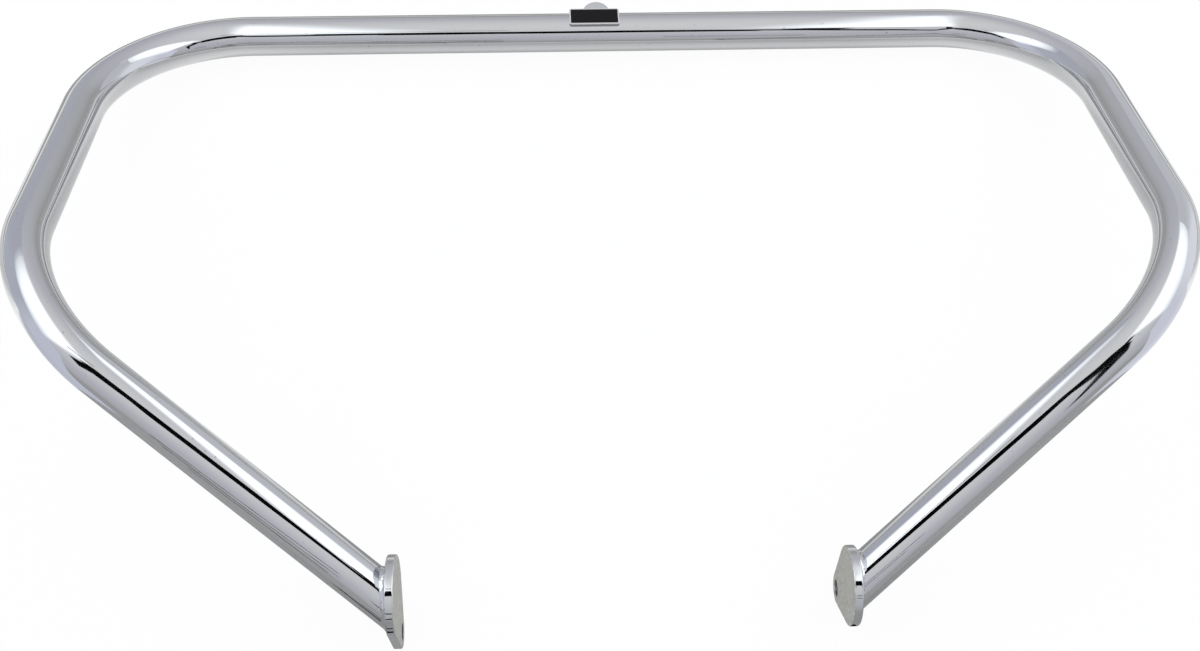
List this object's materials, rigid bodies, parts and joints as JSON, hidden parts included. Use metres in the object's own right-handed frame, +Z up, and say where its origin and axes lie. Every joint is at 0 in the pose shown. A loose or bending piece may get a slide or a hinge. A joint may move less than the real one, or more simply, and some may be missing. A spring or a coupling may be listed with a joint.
{
  "type": "crash bar",
  "caption": "Chromed bent-tube crash bar for a motorbike: wide top tube, sloping sides and legs that run in to welded bolt-on flanges, with a welded bolt tab at the top.",
  "frame": {"origin": "centre of the top tab's bolt hole, on the tab's bearing face, which is also the level that the bar lies on", "axes": "+X along the top tube to the bar's right as the badge reads, +Y from the flanges towards the top tube, +Z up from the surface that the bar lies on"},
  "size_m": [0.8318, 0.5638, 0.1608],
  "materials": {
    "tube": "bright chrome plate on steel tube",
    "flange": "bright chrome plate on steel plate",
    "weld": "chrome plate over dressed weld",
    "tab": "bright chrome plate on steel plate",
    "adhesive": "matt acrylic foam tape",
    "badge": "polished rim",
    "inlay": "gloss black field"
  },
  "bodies": {
    "root": {"main_tube": "tube", "left_flange": "flange", "right_flange": "flange", "left_flange_weld": "weld", "right_flange_weld": "weld", "mounting_tab": "tab", "upper_tab_weld": "weld", "lower_tab_weld": "weld", "badge_adhesive": "adhesive", "badge_plate": "badge", "badge_inlay": "inlay"}
  },
  "joints": []
}
